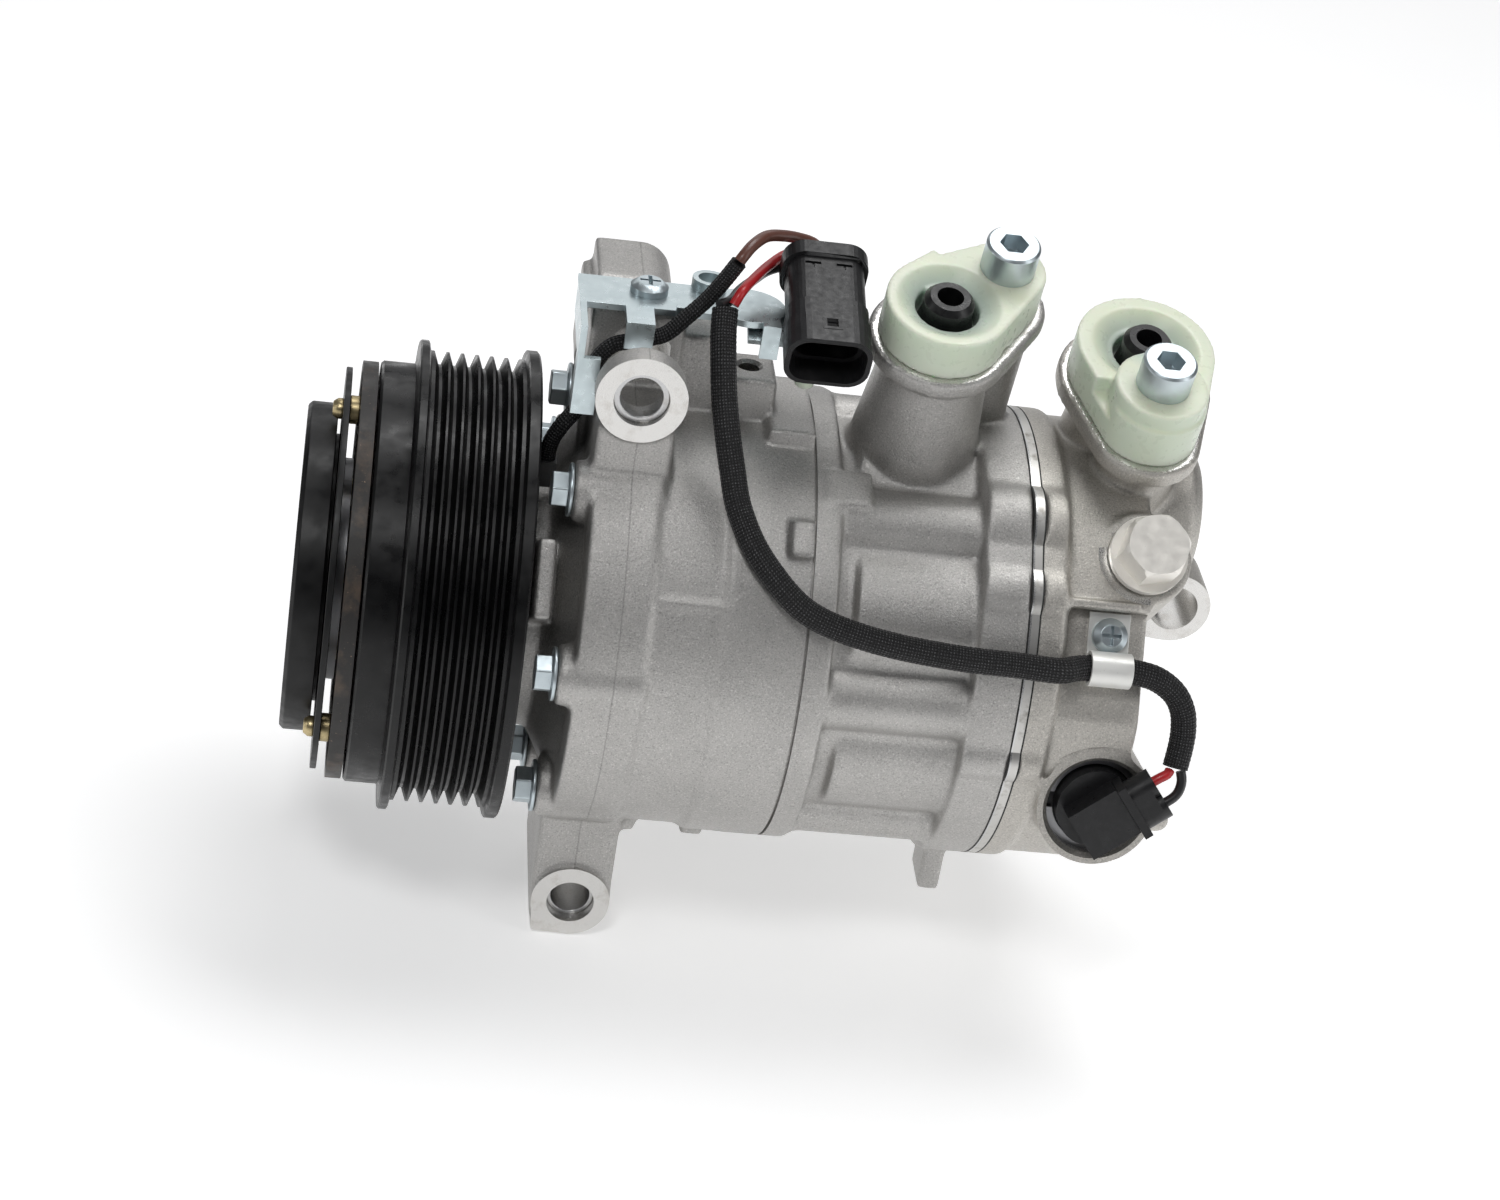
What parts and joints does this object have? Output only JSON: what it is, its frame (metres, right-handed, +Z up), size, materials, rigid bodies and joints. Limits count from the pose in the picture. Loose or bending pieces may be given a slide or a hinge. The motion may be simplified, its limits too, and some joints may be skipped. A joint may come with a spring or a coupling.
{
  "type": "automotive air conditioning compressor",
  "caption": "Variable swash-plate air conditioning compressor with a grooved belt pulley, magnetic clutch, capped hose ports, control valve and short wiring harness.",
  "frame": {"origin": "on the shaft axis, at the middle of the belt track", "axes": "+X along the shaft from the clutch to the rear cover, +Z up towards the hose ports, -Y towards the side that the mounting bolts enter from"},
  "size_m": [0.225, 0.1234, 0.1904],
  "materials": {
    "front_casting": "bead-blasted casting, neutral grey",
    "middle_casting": "bead-blasted casting, neutral grey",
    "rear_casting": "fine cast skin, slightly warm grey",
    "machined_plate": "ground edge with fine stains",
    "gasket": "thin coated gasket, matte",
    "spring_steel": "blued spring steel, satin",
    "rubber": "moulded black rubber",
    "zinc_bolts": "pale blue zinc plate, satin",
    "zinc_screws": "pale blue zinc plate, satin",
    "bushing_steel": "turned steel",
    "nylon": "natural nylon, slightly translucent green",
    "zinc_sheet": "pale blue zinc plate on pressed sheet",
    "tinned_clip": "tinned strip with a soft shine",
    "plug_metal": "turned top, dull flats",
    "seal_washer": "flat ground washer",
    "valve_brass": "turned brass",
    "valve_black": "moulded black, satin",
    "connector_black": "moulded black, fine grain",
    "pin_brass": "plated contacts",
    "braid_black": "black braided sleeve with pale flecks",
    "wire_brown": "dark brown red insulation",
    "wire_red": "red insulation",
    "wire_black": "black insulation",
    "coil_steel": "dark plated steel",
    "winding": "potted winding",
    "bearing_steel": "ground bearing steel",
    "bearing_seal_brown": "brown rubber seal",
    "piston_metal": "turned and coated",
    "shoe_steel": "polished steel",
    "pulley_paint": "black coat, satin",
    "shaft_steel": "ground steel",
    "forged_steel": "forged and turned steel",
    "hub_steel": "phosphated steel",
    "clutch_paint": "black coat, satin, slightly worn",
    "armature_paint": "black coat with brown rub marks",
    "gold_rivets": "yellow passivated zinc"
  },
  "bodies": {
    "housing": {"front_housing": "front_casting", "cylinder_block": "middle_casting", "rear_housing": "rear_casting", "valve_plate": "machined_plate", "front_gasket": "gasket", "rear_gasket": "gasket", "suction_reeds": "spring_steel", "discharge_reeds": "spring_steel", "body_seal": "rubber", "through_bolts": "zinc_bolts", "lug_bushings": "bushing_steel", "suction_cap": "nylon", "discharge_cap": "nylon", "port_plugs": "rubber", "cap_screws": "zinc_screws", "harness_bracket": "zinc_sheet", "bracket_screw": "zinc_screws", "p_clip": "tinned_clip", "p_clip_screw": "zinc_screws", "relief_plug": "plug_metal", "relief_washer": "seal_washer", "valve_body": "valve_brass", "valve_coil": "valve_black", "valve_seals": "rubber", "valve_connector": "connector_black", "main_connector": "connector_black", "connector_pins": "pin_brass", "connector_peg": "nylon", "harness_sleeve": "braid_black", "coil_sleeve": "braid_black", "brown_wire": "wire_brown", "red_wires": "wire_red", "black_wires": "wire_black", "coil_shell": "coil_steel", "coil_winding": "winding", "snap_rings": "spring_steel", "bearing_inner_ring": "bearing_steel", "shaft_seal": "rubber", "pistons": "piston_metal", "piston_shoes": "shoe_steel", "front_needle_bearing": "bearing_steel", "rear_needle_bearing": "bearing_steel"},
    "armature": {"armature_plate": "armature_paint", "armature_rivets": "gold_rivets"},
    "pulley": {"rotor_pulley": "pulley_paint", "bearing_outer_ring": "bearing_steel", "bearing_seals": "bearing_seal_brown"},
    "ball_cage": {"bearing_balls": "bearing_steel"},
    "shaft": {"main_shaft": "shaft_steel", "lug_plate": "forged_steel", "swash_plate": "forged_steel", "hinge_pin": "shaft_steel", "swash_spring": "spring_steel", "clutch_hub": "hub_steel", "hub_cover": "clutch_paint", "hub_rivets": "gold_rivets", "hub_bolt": "zinc_screws", "spring_plate": "clutch_paint"},
    "roller_cage": {"thrust_rollers": "bearing_steel"},
    "plunger": {"valve_plunger": "shaft_steel"}
  },
  "joints": [
    {"name": "pulley_spin", "type": "hinge", "parent": "housing", "child": "pulley", "pos_m": [0, 0, 0], "axis": [1, 0, 0], "continuous": true},
    {"name": "ball_cage_spin", "type": "hinge", "parent": "housing", "child": "ball_cage", "pos_m": [0, 0, 0], "axis": [1, 0, 0], "continuous": true},
    {"name": "shaft_spin", "type": "hinge", "parent": "housing", "child": "shaft", "pos_m": [0, 0, 0], "axis": [1, 0, 0], "continuous": true},
    {"name": "roller_cage_spin", "type": "hinge", "parent": "housing", "child": "roller_cage", "pos_m": [0, 0, 0], "axis": [1, 0, 0], "continuous": true},
    {"name": "armature_slide", "type": "slide", "parent": "shaft", "child": "armature", "axis": [1, 0, 0], "range_m": [0, 0.0005], "stiffness_N_per_m": 20000, "deforming": ["spring_plate"]},
    {"name": "valve_stroke", "type": "slide", "parent": "housing", "child": "plunger", "axis": [0, -0.9781, 0.2079], "range_m": [0, 0.0007], "stiffness_N_per_m": 800}
  ],
  "couplings": [
    {"joint": "ball_cage_spin", "follows": "pulley_spin", "ratio": 0.56},
    {"joint": "roller_cage_spin", "follows": "shaft_spin", "ratio": 0.5}
  ]
}
